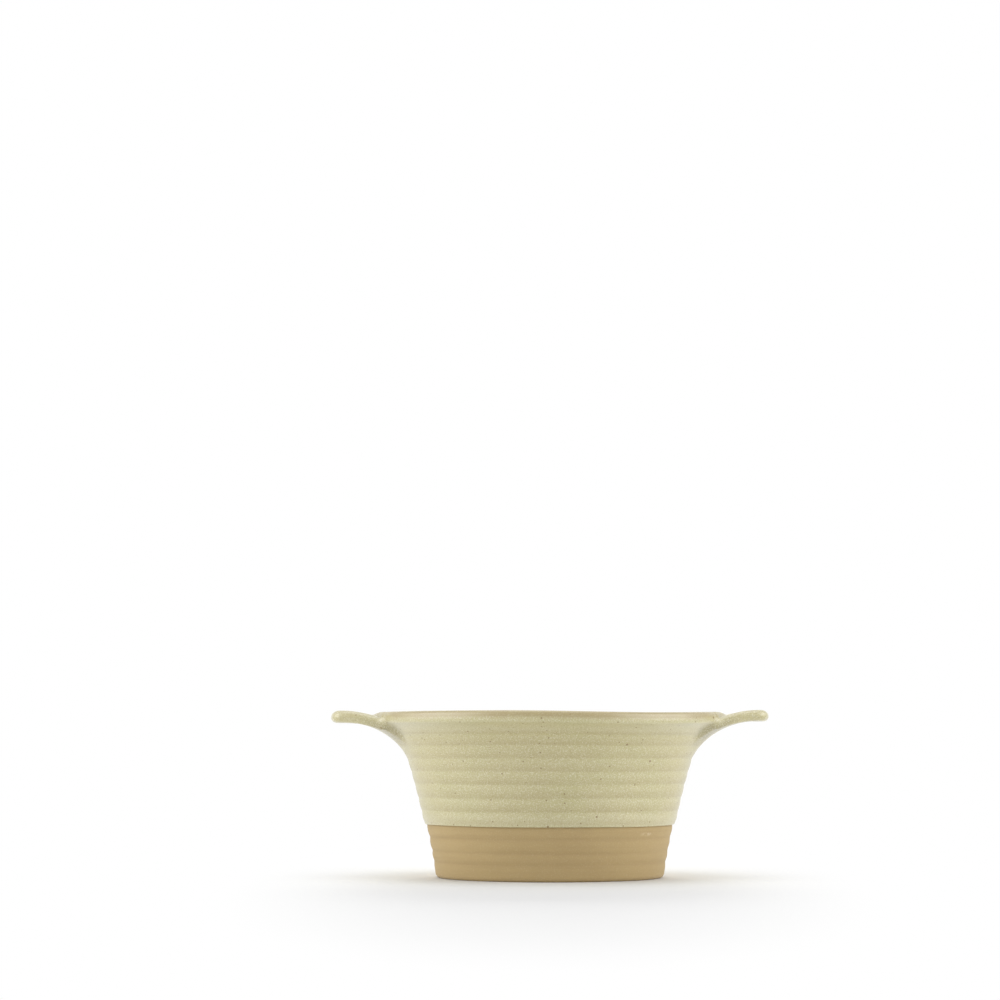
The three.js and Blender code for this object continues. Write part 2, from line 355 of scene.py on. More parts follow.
sideRun = np.array([-sideOut[1], sideOut[0]])
tipCentreY = lugs["width"] / 2 - lugs["tipCorner"]
tipCentre = np.array([math.sqrt((lugReach - lugs["tipCorner"]) ** 2 - tipCentreY ** 2), tipCentreY])
filletStart = tipCentre + (lugs["tipCorner"] + lugs["fillet"]) * sideOut
filletOrbit = dish["rim"] + lugs["fillet"]
toAxis = float(filletStart @ sideRun)
filletCentre = filletStart + sideRun * (
    -toAxis - math.sqrt(toAxis ** 2 - float(filletStart @ filletStart) + filletOrbit ** 2))
filletTurn = math.atan2(filletCentre[1], filletCentre[0])


# Angle off the middle of the nearer lug
def offLug(turn):
    return np.abs((turn + math.pi / 2) % math.pi - math.pi / 2)


# Radius of the plan at an angle from the lug's middle, drawn in by an inset: tip arc, corner arc,
# straight side, fillet arc, then the round rim
def planEdge(angle, inset):
    ux, uy = np.cos(angle), np.sin(angle)
    corner = lugs["tipCorner"] - inset
    fillet = lugs["fillet"] + inset
    alongTip = ux * tipCentre[0] + uy * tipCentre[1]
    onCorner = alongTip + np.sqrt(np.maximum(alongTip ** 2 - tipCentre @ tipCentre + corner ** 2, 0.0))
    sideDistance = sideOut @ tipCentre + corner
    onSide = sideDistance / (ux * sideOut[0] + uy * sideOut[1])
    alongFillet = ux * filletCentre[0] + uy * filletCentre[1]
    onFillet = alongFillet - np.sqrt(
        np.maximum(alongFillet ** 2 - filletCentre @ filletCentre + fillet ** 2, 0.0))
    tipTurn = math.atan2(tipCentre[1], tipCentre[0])
    cornerTurn = np.arctan2(tipCentre[1] + corner * sideOut[1], tipCentre[0] + corner * sideOut[0])
    sideTurn = np.arctan2(filletCentre[1] - fillet * sideOut[1], filletCentre[0] - fillet * sideOut[0])
    radius = np.where(angle < filletTurn, onFillet, dish["rim"] - inset)
    radius = np.where(angle < sideTurn, onSide, radius)
    radius = np.where(angle < cornerTurn, onCorner, radius)
    return np.where(angle < tipTurn, lugReach - inset, radius)


# Turns at equal steps of a density that is higher where the sides of the lugs are steep in plan
def lugTurns(count):
    fine = np.linspace(0.0, tau, outerGlaze["turnSamples"])
    angle = np.degrees(offLug(fine))
    steep = ease(*outerGlaze["denseFrom"], angle) * (1.0 - ease(*outerGlaze["denseTo"], angle))
    density = 1.0 + outerGlaze["denser"] * steep
    share = np.concatenate([[0.0], np.cumsum((density[1:] + density[:-1]) / 2)])
    return np.interp(np.arange(count) / count, share / share[-1], fine)


# Every column's polyline cut again into equal steps of its weighted length: each column's lengths are
# moved into a range of their own, so that one interpolation serves them all
def evenSteps(lines, weight, count):
    r, z = lines[:2]
    step = np.hypot(np.diff(r, axis=1), np.diff(z, axis=1)) * (weight[:, 1:] + weight[:, :-1]) / 2
    soFar = np.cumsum(step + outerGlaze["leastStep"], axis=1)
    length = np.concatenate([np.zeros((len(r), 1)), soFar], axis=1)
    length = length / length[:, -1:]
    shelf = 2.0 * np.arange(len(r))[:, None]
    wanted = shares(count) + shelf
    source = (length + shelf).ravel()
    return [np.interp(wanted, source, line.ravel()) for line in lines]


# Round to add to the larger of two crossing lines: a quarter of its size times their nearness squared
def crossingRound(a, b, size):
    near = np.maximum(size - np.abs(a - b), 0.0) / size
    return near ** 2 * size / 4


# Radius of the lip's squared round at a height, and nothing above or below it
def lipFace(z):
    tall = np.abs(z - (dish["height"] - dish["lipHalf"])) / dish["lipHalf"]
    power = 2.0 / dish["lipSquare"]
    outward = np.maximum(1.0 - tall ** power, 0.0) ** (1.0 / power)
    return np.where(tall < 1.0, lipR + lipRound * outward, 0.0)


# Lug at each turn: the angle off its middle, 1 on it and 0 on the plain rim, 1 on its sides and 0 in its
# middle, half its thickness, and its rise over the rim
def lugAt(turn):
    angle = offLug(turn)
    right = np.cos(turn) > 0
    full = 1.0 - ease(math.radians(lugs["rootTurn"]), filletTurn, angle)
    return {
        "angle": angle,
        "full": full,
        "side": easeTurn(lugs["sideTurns"], angle),
        "half": mix(lipRound, np.where(right, lugs["rightHalf"], lugs["leftHalf"]), full),
        "rise": np.where(right, lugs["rightRise"], lugs["leftRise"]),
    }


# Middle height of the film at a radius: on a lug an arch that falls with the square of the way from its
# crown, elsewhere the lip's centre
def plateMiddle(lug, radius):
    crown = lugReach - lugs["crown"]
    share = (radius * np.cos(lug["angle"]) - crown) / (crown - dish["rim"])
    top = dish["height"] + lug["rise"] - (lug["rise"] + lugs["dip"]) * share ** 2
    return mix(lipZ, top - lug["half"], lug["full"])


# Nose: a round of the half thickness about the plan, squared into an upright band along the lip
def noseLine(lug):
    half, full = lug["half"], lug["full"]
    lowest = -mix(lipLean, math.pi / 2, full)
    around = mix(lowest, math.pi / 2, shares(outerGlaze["noseSamples"]))
    square = mix(dish["lipSquare"], 1.0, full)
    outward = np.abs(np.cos(around)) ** square
    upward = np.sign(around) * np.abs(np.sin(around)) ** square
    halfTall = mix(dish["lipHalf"], half, full)
    r = planEdge(lug["angle"], half * (1.0 - outward))
    return r, plateMiddle(lug, r) + half - halfTall + halfTall * upward


# Top: the arched plate against the chamfered lip, the larger of both with a small round between them
def topLine(lug, startR, endR):
    r = mix(startR, endR, shares(outerGlaze["topSamples"])[:, 1:])
    slope = lug["full"] * mix(lugs["chamfer"], lugs["sideChamfer"], lug["side"])
    onLip = dish["height"] - slope * np.maximum(r - dish["rim"] + lugs["chamferFrom"], 0.0)
    onPlate = plateMiddle(lug, r) + lug["half"]
    fillet = mix(lugs["notchFillet"], lugs["sideFillet"], lug["side"]) * lug["full"] + tiny
    added = crossingRound(onLip, onPlate, fillet) * ease(0.0, lugs["crestClear"], r - lipR)
    return r, np.maximum(onLip, onPlate) + added


# Underside: the flare moved out to the bracket's curve, a cubic from the wall to the lug's tip, in step with
# how far the bracket and then the plan stand out at that turn; the ribs fade where it has moved
def underLine(lug, turn, noseR, noseZ):
    t = shares(outerGlaze["underSamples"])
    footAt = wallAtHeight(lugs["bracketFoot"])
    s = footAt + (wallLine["length"] - footAt) * t
    flareR, flareZ = onWall(s, coat)
    footR, footZ = flareR[0, 0], flareZ[0, 0]
    tipR = lugReach - lugs["rightHalf"]
    tipZ = dish["height"] + lugs["rightRise"] - 2 * lugs["rightHalf"]
    lean = math.radians(lugs["footPullLean"])
    handles = np.array([
        [footR, footZ],
        [footR + lugs["footPull"] * math.sin(lean), footZ + lugs["footPull"] * math.cos(lean)],
        [tipR - lugs["tipPull"], tipZ + lugs["tipPull"] * lugs["tipPullRise"]],
        [tipR, tipZ],
    ])
    weights = np.stack([(1 - t) ** 3, 3 * t * (1 - t) ** 2, 3 * t ** 2 * (1 - t), t ** 3], axis=-1)
    bracket = weights @ handles
    outR, outZ = bracket[..., 0] - flareR, bracket[..., 1] - flareZ
    plan = (planEdge(lug["angle"], lug["half"]) - (dish["rim"] - lug["half"])) / lugs["length"]
    rising = ease(0.0, lugs["flankRise"], t)
    inside = np.radians(mix(lugs["footInside"], lugs["flankInside"], rising))
    outside = np.radians(mix(lugs["footOutside"], lugs["flankOutside"], rising))
    buttress = 1.0 - ease(inside, outside, lug["angle"])
    stand = mix(buttress, plan, ease(lugs["planFrom"], 1.0, t))
    endR = noseR - flareR[:, -1:]
    endZ = noseZ - flareZ[:, -1:]
    moveR = outR * stand + t ** 2 * (endR - (outR * stand)[:, -1:])
    moveZ = outZ * stand + t ** 2 * (endZ - (outZ * stand)[:, -1:])
    unmoved = 1.0 - ease(*lugs["ribsOff"], np.hypot(moveR, moveZ))
    dip = ribDip(s, turn, outerGlaze["ribRounding"]) * unmoved
    ribR, ribZ = onWall(s, coat - ribs["glazeDepth"] * dip)
    return ribR + moveR, ribZ + moveZ


# Painted shade in the corners between bracket and wall, as darker olive glaze: degrees off the lug, heights
# and radii
underLugShade = {
    "reach": 19.5,
    "reachMore": 6.5,
    "reachHeights": (54.0, 60.0),
    "soft": (-0.1, 0.06),  # radians from the reach
    "fromMiddle": (6.0, 14.0),
    "lugTurns": (15.0, 19.0),
    "fromHeights": (51.5, 57.0),
    "toHeights": (60.0, 64.0),  # on the wall
    "toRadii": (67.0, 77.0),  # on the lug
    "overNose": 0.8,
}


# Painted shade under a lug: off the lug's middle and within a reach that widens upwards, from a height on the
# wall up to another, or out under the lug to a radius
def underLugShadeMask(angle, r, z):
    reach = np.radians(underLugShade["reach"] + underLugShade["reachMore"] * ease(*underLugShade["reachHeights"], z))
    flank = (1.0 - easeFrom(reach, underLugShade["soft"], angle)) * easeTurn(underLugShade["fromMiddle"], angle)
    onLug = 1.0 - easeTurn(underLugShade["lugTurns"], angle)
    upTo = mix(1.0 - ease(*underLugShade["toHeights"], z), 1.0 - ease(*underLugShade["toRadii"], r), onLug)
    return flank * ease(*underLugShade["fromHeights"], z) * upTo


# Upper part of the film's section with its painted shade under the lugs: from the foot of the brackets out
# under a lug, round its nose and back over its top to an end. Away from the lugs it is the ribbed flare and
# the round of the lip, and the lip stands whole behind a lug's root: the outer of both, with a round between
# them.
def upperSection(turn, topEnd, rows):
    lug = lugAt(turn)
    noseR, noseZ = noseLine(lug)
    topR, topZ = topLine(lug, noseR[:, -1:], topEnd)
    underR, underZ = underLine(lug, turn, noseR[:, :1], noseZ[:, :1])
    r = np.concatenate([underR, noseR[:, 1:], topR], axis=1)
    z = np.concatenate([underZ, noseZ[:, 1:], topZ], axis=1)
    weight = np.concatenate([np.full_like(underR, 1.0),
                             np.full_like(noseR[:, 1:], outerGlaze["noseWeight"]),
                             np.full_like(topR, outerGlaze["topWeight"])], axis=1)
    # painted shade in the corners under the lug, fading out over its nose
    lugShade = underLugShadeMask(lug["angle"], underR, underZ)
    alongNose = shares(outerGlaze["noseSamples"])[:, 1:]
    lugShadeNose = lugShade[:, -1:] * (1.0 - ease(0.0, underLugShade["overNose"], alongNose))
    lugShade = np.concatenate([lugShade, lugShadeNose, np.zeros_like(topR)], axis=1)
    r, z, lugShade = evenSteps((r, z, lugShade), weight, rows)
    face = lipFace(z)
    fillet = lugs["lipFillet"] * ease(*lugs["lipFilletFull"], lug["full"]) + tiny
    return np.maximum(r, face) + crossingRound(r, face, fillet), z, lugShade


# Film section below the brackets: a thin round edge tucked against the clay, then the ribbed face, which
# thickens away from the edge as a bell curve falls
def lowerSection(turn):
    waver = outerGlaze["edgeWaver"] * waves(outerGlaze["waverWaves"], turn)
    edgeAt = wallAtHeight(dish["glazeLine"]) + dish["glaze"] / 2 + waver
    thick = dish["glaze"] - outerGlaze["edgeTaper"]
    around = np.linspace(-math.pi / 2, math.pi / 2, outerGlaze["edgeRows"])[None, :]
    edgeS = edgeAt - dish["glaze"] / 2 * np.cos(around)
    edgeOut = np.repeat(dish["seam"] + thick / 2 + thick / 2 * np.sin(around), len(turn), axis=0)
    footAt = wallAtHeight(lugs["bracketFoot"])
    s = mix(edgeAt, footAt, shares(outerGlaze["wallRows"] + 1)[:, 1:-1])
    taper = outerGlaze["edgeTaper"] * np.exp(-((s - edgeAt) / outerGlaze["taperLength"]) ** 2)
    ribbed = ribDip(s, turn, outerGlaze["ribRounding"]) * ease(*outerGlaze["ribsFrom"], s - edgeAt)
    out = coat - taper - ribs["glazeDepth"] * ribbed
    return onWall(np.concatenate([edgeS, s], axis=1), np.concatenate([edgeOut, out], axis=1))


# Unit normals of a grid out of the clay: its steps across columns crossed with its steps along rows
def gridNormals(grid, across):
    along = np.gradient(grid, axis=1)
    normal = np.cross(across, along)
    return normal / np.linalg.norm(normal, axis=-1, keepdims=True)


# Unit vectors of a grid that wraps round, summed with their neighbours a number of times
def smoothed(vectors, passes):
    for _ in range(passes):
        vectors = vectors + np.roll(vectors, 1, axis=0) + np.roll(vectors, -1, axis=0)
        vectors[:, 1:-1] = vectors[:, 1:-1] + vectors[:, :-2] + vectors[:, 2:]
        vectors = vectors / np.linalg.norm(vectors, axis=-1, keepdims=True)
    return vectors


# Thin and whiter glaze, painted shade and painted light: shares, and spans of height, radius, turn or the
# normal's upward part
thinPaleAndPaintedLight = {
    # rib: tan on the ribs' lower parts, painted shade and thinner glaze
    "rib": 0.55,
    "ribPower": 1.3,
    "ribStart": 0.12,
    "ribRadii": (68.0, 71.0),
    "lip": 1.2,
    "crest": 0.4,
    "lipHeights": (-1.7, 0.9),  # from the lip's centre
    "lipRadii": (66.0, 68.0),
    "crestFacing": (0.72, 1.0),
    "upFacing": (0.1, 0.9),
    "lugTurns": (20.0, 34.0),
    "lugCalm": 0.7,
    "lugUnder": 0.2,
    "lugTop": 0.35,
    "lugRadii": (0.5, 3.0),  # from the rim
    # band under the lip: painted reflection
    "bandFrom": (-7.0, -5.0),  # from the lip's centre
    "bandTo": (-2.2, -1.4),
    "bandOffLug": (0.33, 0.42),  # radians
    "paleEdge": (1.5, 6.0),  # from the glaze line
    # lugs' tops whiter where they face up: painted light
    "lugTopLight": 1.3,
    "lugTopLightRadii": (-0.5, 2.5),  # from the rim
}


# Thin glaze, 1 where the clay shows through it: up each rib as a power of the way left to the next groove,
# which stands for painted shade on the rib's lower, downward-facing part as well as thinner glaze; and over
# the lip, less on its crest and at the lugs
def thinAndRibShadeMask(turn, r, z, facing):
    s = np.interp(z, wallLine["z"], wallLine["s"])
    phase = ribPhase(s, turn) % 1.0
    # painted shade on each rib's lower, downward-facing part, together with thinner glaze
    ribThinAndShade = (1.0 - phase) ** thinPaleAndPaintedLight["ribPower"] * ease(0.0, thinPaleAndPaintedLight["ribStart"], phase)
    ribThinAndShade = ribThinAndShade * (1.0 - ease(lastRib, lastRib + ribs["pitch"], s)) * (1.0 - ease(*thinPaleAndPaintedLight["ribRadii"], r))
    onEdge = easeFrom(lipZ, thinPaleAndPaintedLight["lipHeights"], z) * ease(*thinPaleAndPaintedLight["lipRadii"], r)
    crestward = ease(*thinPaleAndPaintedLight["crestFacing"], facing)
    lugward = 1.0 - easeTurn(thinPaleAndPaintedLight["lugTurns"], offLug(turn))
    lipShare = mix(thinPaleAndPaintedLight["lip"], thinPaleAndPaintedLight["crest"], np.maximum(crestward, thinPaleAndPaintedLight["lugCalm"] * lugward))
    lugShare = mix(thinPaleAndPaintedLight["lugUnder"], thinPaleAndPaintedLight["lugTop"], ease(*thinPaleAndPaintedLight["upFacing"], facing))
    onLug = easeFrom(dish["rim"], thinPaleAndPaintedLight["lugRadii"], r)
    return np.maximum(thinPaleAndPaintedLight["rib"] * ribThinAndShade, onEdge * mix(lipShare, lugShare, onLug))


# Whiter glaze: the largest of a band under the lip between the lugs, a painted reflection on the flare's
# underside; the film's lower edge; and the lugs' upward-facing tops, painted light
def paleAndPaintedLightMask(turn, r, z, facing):
    # painted reflection under the lip
    band = easeFrom(lipZ, thinPaleAndPaintedLight["bandFrom"], z) * (1.0 - easeFrom(lipZ, thinPaleAndPaintedLight["bandTo"], z))
    band = band * ease(*thinPaleAndPaintedLight["bandOffLug"], offLug(turn))
    edge = 1.0 - easeFrom(dish["glazeLine"], thinPaleAndPaintedLight["paleEdge"], z)
    # painted light on the lugs' upward-facing tops
    upward = thinPaleAndPaintedLight["lugTopLight"] * ease(*thinPaleAndPaintedLight["upFacing"], facing)
    return np.maximum(np.maximum(band, edge), upward * easeFrom(dish["rim"], thinPaleAndPaintedLight["lugTopLightRadii"], r))


# Outer film: the sections at all turns are its face, and the same grid moved in along evened normals by the
# film's thickness, with fewer rows, is its back
def makeOuterGlaze():
    turn = lugTurns(outerGlaze["columns"])[:, None]
    lowR, lowZ = lowerSection(turn)
    highR, highZ, highLugShade = upperSection(turn, lipR, outerGlaze["upperRows"])
    r = np.concatenate([lowR, highR], axis=1)
    z = np.concatenate([lowZ, highZ], axis=1)
    face = spin(r, z, turn)
    normal = gridNormals(face, np.roll(face, -1, axis=0) - np.roll(face, 1, axis=0))
    outward = smoothed(normal, outerGlaze["backSmoothing"])
    back = (face - dish["glaze"] * outward)[:, ::-1][:, ::outerGlaze["backEvery"]]
    back = back[:, : -(outerGlaze["edgeRows"] // outerGlaze["backEvery"] + 1)]
    grid = np.concatenate([face, back], axis=1)
    # the rib part of thin is painted shade, the corner mask is painted shade under the lugs, and pale holds
    # painted light under the lip and on the lugs' tops
    masks = {
        "thin": thinAndRibShadeMask(turn, r, z, normal[..., 2]),
        "lugShade": np.concatenate([np.zeros_like(lowR), highLugShade], axis=1),
        "pale": paleAndPaintedLightMask(turn, r, z, normal[..., 2]),
    }
    hidden = np.zeros(back.shape[:2])
    values = {key: np.concatenate([mask, hidden], axis=1) for key, mask in masks.items()}
    quads = wrapFaces(*grid.shape[:2], True)
    return makePiece("outer_glaze", grid.reshape(-1, 3), quads, noTris, values)


# Clay of the lugs

lugClay = {
    "halfTurn": 16.5,
    "columns": 67,
    "rows": 64,
    "topEnd": 71.5,
    "under": 1.2,  # below the film's face
    "bedded": 0.3,  # into the bowl's wall
}


# Lug: the film's section over a range of turns, moved in along its normals, closed by a back along the
# bowl's wall and by a ladder of quads across each end
def makeLug(name, facing):
    count, rows = lugClay["columns"], lugClay["rows"]
    turn = np.radians(facing + np.linspace(-lugClay["halfTurn"], lugClay["halfTurn"], count))[:, None]
    r, z = upperSection(turn, lugClay["topEnd"], rows)[:2]
    face = spin(r, z, turn)
    front = face - lugClay["under"] * gridNormals(face, np.gradient(face, axis=0))
    s = np.linspace(wallLine["length"], wallAtHeight(lugs["bracketFoot"]), rows)[None, :]
    backR, backZ = onWall(s, -lugClay["bedded"])
    points = np.concatenate([front, spin(backR, backZ, turn)], axis=1).reshape(-1, 3)
    ring = 2 * rows
    k = np.arange(rows - 1)
    ladder = np.stack([k, k + 1, ring - 2 - k, ring - 1 - k], axis=-1)
    quads = np.vstack([wrapFaces(count, ring, True, False), ladder, ladder[:, ::-1] + (count - 1) * ring])
    return makePiece(name, points, quads, noTris, {})


# Liner glaze: film from the crest down the inner wall and over the floor

innerGlaze = {
    "floorTop": 7.4,
    "corner": 4.1,
    "columns": 288,
    "lipRows": 9,
    "wallRows": 56,
    "cornerRows": 13,
    "floorRows": 40,
    "backWallRows": 18,
    "backFloorRows": 10,
    "lineSamples": 4000,
    "ringHeight": 0.05,  # faint turning rings on the floor
    "ringPitch": 6.5,
    "ringOff": 0.4,
    "ringsFrom": (0.0, 8.0),
    "ringsTo": (30.0, 38.0),
    "crestThin": 0.2,
    "crestHeights": (0.0, 1.8),  # from the lip's centre
    "cornerThin": 0.25,
    "cornerRadius": 40.0,
    "cornerWidth": 1.2,
    "cornerTop": 14.0,
}


# Inner face of the clay or, moved in by a coat, of the liner: from the crest round the lip, down the wall
# that thins along the flare, round the corner and in over the floor
def innerLine(inward, wallRows, floorRows):
    lipPart = arc(lipR, lipZ, dish["lip"] + inward, math.pi / 2, math.pi - lipLean, innerGlaze["lipRows"])
    cornerRound = innerGlaze["corner"] + coat - inward
    floorTop = innerGlaze["floorTop"] - coat + inward
    s = np.linspace(wallLine["length"], 0.0, innerGlaze["lineSamples"])
    thin = ease(wallLine["waist"], wallLine["length"], s)
    thick = mix(dish["wall"], 2 * dish["lip"], thin) + inward
    r, z = onWall(s, -thick)
    centreR, centreZ = onWall(s, -thick - cornerRound)
    stop = int(np.argmax(centreZ < floorTop + cornerRound))
    pick = np.linspace(0, stop, wallRows).astype(int)[1:]
    wallPart = np.stack([r[pick], z[pick]], axis=-1)
    lean = math.atan2(z[stop] - centreZ[stop], r[stop] - centreR[stop])
    cornerPart = arc(centreR[stop], centreZ[stop], cornerRound, lean, -math.pi / 2, innerGlaze["cornerRows"])
    floorR = np.linspace(centreR[stop], dish["axisRing"], floorRows)[1:]
    floorPart = np.stack([floorR, np.full_like(floorR, floorTop)], axis=-1)
    return np.vstack([lipPart, wallPart, cornerPart[1:], floorPart])


# Liner: the inner line at two coats is its back and face; a sine of the radius makes rings on its floor, and
# it is thin on the crest and, as a bell curve, round the floor's corner
def makeInnerGlaze():
    face = innerLine(coat, innerGlaze["wallRows"], innerGlaze["floorRows"])
    back = innerLine(dish["seam"], innerGlaze["backWallRows"], innerGlaze["backFloorRows"])
    line = np.vstack([back[::-1], face])
    turn = evenTurns(innerGlaze["columns"])
    r = allRound(line[:, 0], len(turn))
    z = allRound(line[:, 1], len(turn))
    shown = np.arange(len(line))[None, :] >= len(back)
    ringPlace = (r + innerGlaze["ringOff"] * np.sin(turn)) / innerGlaze["ringPitch"]
    rings = innerGlaze["ringHeight"] * np.sin(tau * ringPlace)
    rings = rings * (1.0 - ease(*innerGlaze["ringsTo"], r)) * ease(*innerGlaze["ringsFrom"], r)
    z = z + np.where(shown, rings, 0.0)
    crestThin = innerGlaze["crestThin"] * easeFrom(lipZ, innerGlaze["crestHeights"], z)
    offCorner = (r - innerGlaze["cornerRadius"]) / innerGlaze["cornerWidth"]
    cornerThin = innerGlaze["cornerThin"] * np.exp(-offCorner ** 2) * (z < innerGlaze["cornerTop"])
    thin = np.where(shown, np.maximum(crestThin, cornerThin), 0.0)
    return makeTurned("inner_glaze", r, z, {"thin": thin})


# Clay body: bare ribbed foot in view, the rest of the bowl under the glaze

clayBody = {
    "recess": 1.5,
    "ringWidth": 8.0,
    "ringBevel": 1.5,
    "bevelRound": 0.5,
    "bevelIn": (0.95, 0.55, 0.15),  # shares along the rounded bevel
    "bevelUp": (0.92, 0.55, 0.12),
    "ribRounding": 0.22,
    "columns": 288,
    "recessRows": 16,
    "ringRows": 8,
    "cornerRows": 9,
    "ribRows": 84,
    "hiddenRows": 24,
    "lipRows": 7,
    "floorRows": 10,
    "pastFilm": 1.0,  # ribbed rows end above the film's edge
    "filmEdge": (0.2, 0.9),
    "hiddenDepth": 0.6,
}


# Bowl: recess, bevel, foot ring and corner, the wall line less its grooves, the lip's round and the inner
# line; a groove's value is its depth squared, the mask of the painted shade in the grooves
def makeClayBody():
    centre = wallLine["footCentre"]
    ringIn = centre[0] - clayBody["ringWidth"]
    recessEnd = ringIn - clayBody["ringBevel"] - clayBody["bevelRound"]
    underR = np.concatenate([
        np.linspace(dish["axisRing"], recessEnd, clayBody["recessRows"]),
        ringIn - clayBody["ringBevel"] * np.array(clayBody["bevelIn"]),
        np.linspace(ringIn + clayBody["bevelRound"], centre[0], clayBody["ringRows"]),
    ])
    underZ = np.concatenate([
        np.full(clayBody["recessRows"], clayBody["recess"]),
        clayBody["recess"] * np.array(clayBody["bevelUp"]),
        np.zeros(clayBody["ringRows"]),
    ])
    corner = arc(*centre, dish["footCorner"], -math.pi / 2, -wallLine["footLean"], clayBody["cornerRows"])
    before = np.vstack([np.stack([underR, underZ], axis=-1), corner[1:-1]])
    lip = arc(lipR, lipZ, dish["lip"], -lipLean, math.pi / 2, clayBody["lipRows"])
    inner = innerLine(0.0, clayBody["hiddenRows"], clayBody["floorRows"])
    after = np.vstack([lip[1:], inner[1:]])

    filmAt = wallAtHeight(dish["glazeLine"]) + dish["glaze"] / 2
    ribEnd = filmAt + clayBody["pastFilm"]
    s = np.concatenate([np.linspace(0.0, ribEnd, clayBody["ribRows"]),
                        np.linspace(ribEnd, wallLine["length"], clayBody["hiddenRows"])[1:]])[None, :]
    turn = evenTurns(clayBody["columns"])
    bare = 1.0 - easeFrom(filmAt, clayBody["filmEdge"], s)
    dip = ribDip(s, turn, clayBody["ribRounding"])
    faceR, faceZ = onWall(s, -ribs["clayDepth"] * dip * mix(clayBody["hiddenDepth"], 1.0, bare))

    count = len(turn)
    r = np.concatenate([allRound(before[:, 0], count), faceR, allRound(after[:, 0], count)], axis=1)
    z = np.concatenate([allRound(before[:, 1], count), faceZ, allRound(after[:, 1], count)], axis=1)
    grooveShade = np.zeros_like(r)
    grooveShade[:, len(before):-len(after)] = np.clip(dip, 0.0, 1.0) ** 2
    return makeTurned("clay_bowl", r, z, {"grooveShade": grooveShade})


outerPiece = makeOuterGlaze()
innerPiece = makeInnerGlaze()
bowlPiece = makeClayBody()
rightLug = makeLug("right_lug_clay", 0.0)
leftLug = makeLug("left_lug_clay", 180.0)


# Materials, all on Object coordinates with the pieces' own values. A noise has a scale per metre, the levels
# at which its mask starts and is full, and a detail; specks have cells per metre, a radius in a cell and the
# level over which a cell has one; a bump has its noise's scale and detail, a strength and a depth in metres.

glazeFinish = {
    "grounds": {
        "speckled glaze": {"cream": (0.465, 0.415, 0.182), "green": (0.42, 0.39, 0.15)},
        # the inner film's ground is greyer and paler than the outer's: painted reflection, the whitish sheen
        # of the inside laid into its colour
        "inner glaze with painted reflection": {"cream": (0.45, 0.415, 0.265), "green": (0.405, 0.385, 0.23)},
    },
    "tan": (0.35, 0.27, 0.102),
    "rim": (0.315, 0.236, 0.062),
    # colour of the painted shade in the corners under the lugs
    "lugShadeColour": (0.28, 0.242, 0.085),
    # pale flecks, and the tint of the painted light
    "fleckAndLight": (0.66, 0.63, 0.45),
    "iron": (0.2, 0.11, 0.0),
    "clouds": (45.0, 0.42, 0.7, 3.0),
    "cloudShare": 0.55,
    "patches": (110.0, 0.35, 0.75, 3.0),
    "patchLeast": 0.55,
    "wornFrom": 0.6,
    "wornShare": 0.6,
    "paleAndLightShare": 0.2,
    "grain": (2500.0, 0.48, 0.66, 2.0),
    "grainThick": 0.68,
    "grainThin": 0.2,
    "shade": (1700.0, 0.52, 0.72, 2.0),
    "shadeShare": 0.55,
    "smallSpecks": (330.0, 0.13, 0.4),
    "largeSpecks": (150.0, 0.095, 0.45),
    "speckShare": 0.95,
    "peel": (420.0, 3.0, 0.25, 0.0003),
    "shader": {
        "Roughness": 0.42,
        "IOR": 1.7,
        "Specular IOR Level": 1.0,
        "Coat Weight": 0.5,
        "Coat Roughness": 0.2,
        "Coat IOR": 1.25,
        "Sheen Weight": 0.05,
        "Sheen Roughness": 0.4,
    },
}
clayFinish = {
    "body": (0.44, 0.325, 0.155),
    "dark": (0.36, 0.255, 0.12),
    "pale": (0.62, 0.52, 0.36),
    "clouds": (60.0, 0.35, 0.75, 4.0),
    "cloudShare": 0.25,
    # darker clay in the grooves: painted shade
    "grooveShadeShare": 0.35,
    "grit": (2400.0, 0.5, 0.75, 2.0),
    "gritShare": 0.22,
    "ringStretch": (18.0, 18.0, 900.0),
    "rings": (1.0, 0.5, 0.75, 1.0),
    "ringShare": 0.2,
    "spots": (400.0, 0.06, 0.6),
    "spotShare": 0.45,
    "scuffPlace": (0.0386, -0.0312, 0.0182),
    "scuffSize": (0.0045, 0.0045, 0.0009),
    "scuffGrain": (900.0, 0.45, 0.6, 2.0),
    "scuffShare": 0.8,
    "tooth": (1300.0, 4.0, 0.35, 0.0002),
    "shader": {
        "Roughness": 0.9,
        "Sheen Weight": 0.1,
        "Sheen Roughness": 0.5,
    },
}


# Node of a kind with its settings; an input is a value to set or a socket to link
def addNode(tree, kind, settings=None, inputs=None):
    node = tree.nodes.new(kind)
    for key, value in (settings or {}).items():
        setattr(node, key, value)
    for key, value in (inputs or {}).items():
        if isinstance(value, bpy.types.NodeSocket):
            tree.links.new(value, node.inputs[key])
        else:
            node.inputs[key].default_value = value
    return node


# Node material with its tree, its shader and Object coordinates
def startMaterial(name, shaderValues):
    material = bpy.data.materials.new(name)
    material.use_nodes = True
    tree = material.node_tree
    tree.nodes.clear()
    shader = addNode(tree, "ShaderNodeBsdfPrincipled", inputs=shaderValues)
    addNode(tree, "ShaderNodeOutputMaterial", inputs={"Surface": shader.outputs["BSDF"]})
    place = addNode(tree, "ShaderNodeTexCoord").outputs["Object"]
    return material, tree, shader, place


# A piece's own value at each point
def pieceValue(tree, name):
    return addNode(tree, "ShaderNodeAttribute", {"attribute_name": name}).outputs["Fac"]


# Value taken from one range to another, by a smooth step or straight
def mapped(tree, value, ends, kind="SMOOTHSTEP"):
    node = addNode(tree, "ShaderNodeMapRange", {"interpolation_type": kind}, {"Value": value, **ends})
    return node.outputs["Result"]


